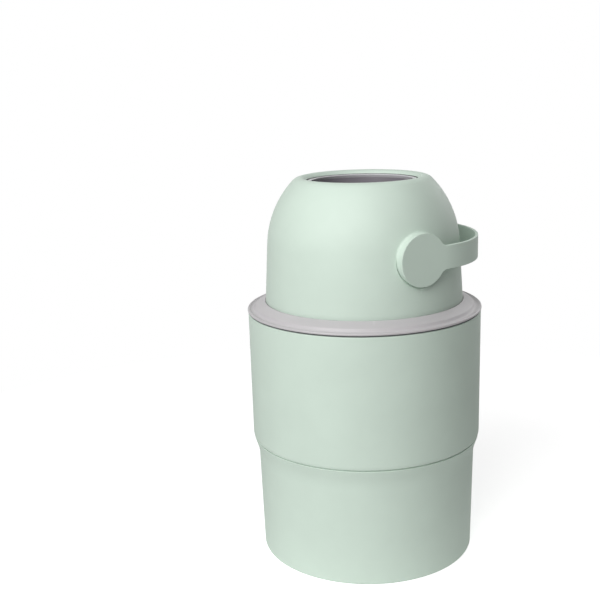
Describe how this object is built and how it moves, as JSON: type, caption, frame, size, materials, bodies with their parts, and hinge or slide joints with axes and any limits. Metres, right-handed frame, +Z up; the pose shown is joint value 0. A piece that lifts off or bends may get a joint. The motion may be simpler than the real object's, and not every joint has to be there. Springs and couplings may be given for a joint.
{
  "type": "nappy bin",
  "caption": "Free-standing nappy bin: stepped round bucket, hinged domed head, drum turned by a bail handle, piston in its chute.",
  "frame": {"origin": "middle of the flat base, where the bin stands on the floor", "axes": "+Z up; +X along the drum's pivot axis, towards the right pivot disc; +Y towards the head's hinge, the side where the handle rests"},
  "size_m": [0.2816, 0.2915, 0.4589],
  "materials": {
    "sage_plastic": "pale sage green moulded polypropylene, fine satin texture",
    "collar_plastic": "warm light grey moulded plastic, satin",
    "light_grey_plastic": "light grey moulded plastic, satin",
    "chute_plastic": "dark mauve grey moulded plastic, smooth",
    "seal_rubber": "dark grey soft seal",
    "steel": "bright zinc plated",
    "nylon": "natural white nylon"
  },
  "bodies": {
    "bucket": {"lower_tub": "sage_plastic", "upper_barrel": "sage_plastic", "bag_ring": "light_grey_plastic", "hinge_pin": "steel"},
    "head": {"collar_ring": "collar_plastic", "collar_gasket": "seal_rubber", "dome_shell": "sage_plastic", "head_floor": "light_grey_plastic", "head_screws": "steel", "mouth_seal": "seal_rubber", "outlet_seal": "seal_rubber", "pivot_bush_left": "nylon", "pivot_bush_right": "nylon"},
    "drum": {"drum_upper_half": "chute_plastic", "drum_lower_half": "chute_plastic", "drum_screws": "steel", "chute_liner": "chute_plastic", "mouth_ring_upper": "light_grey_plastic", "mouth_ring_lower": "light_grey_plastic", "axle_left": "nylon", "axle_right": "nylon", "axle_clips": "steel", "handle": "sage_plastic"},
    "piston": {"piston_upper_cup": "light_grey_plastic", "piston_lower_cup": "light_grey_plastic", "piston_weight": "steel", "piston_screws": "steel", "wiper_upper": "seal_rubber", "wiper_lower": "seal_rubber"}
  },
  "joints": [
    {"name": "head_hinge", "type": "hinge", "parent": "bucket", "child": "head", "pos_m": [0, 0.1462, 0.2933], "axis": [-1, 0, 0], "range_deg": [0, 80]},
    {"name": "drum_flip", "type": "hinge", "parent": "head", "child": "drum", "pos_m": [0, 0, 0.3755], "axis": [1, 0, 0], "range_deg": [0, 180]},
    {"name": "piston_slide", "type": "slide", "parent": "drum", "child": "piston", "axis": [0, 0, 1], "range_m": [0, 0.123]}
  ]
}
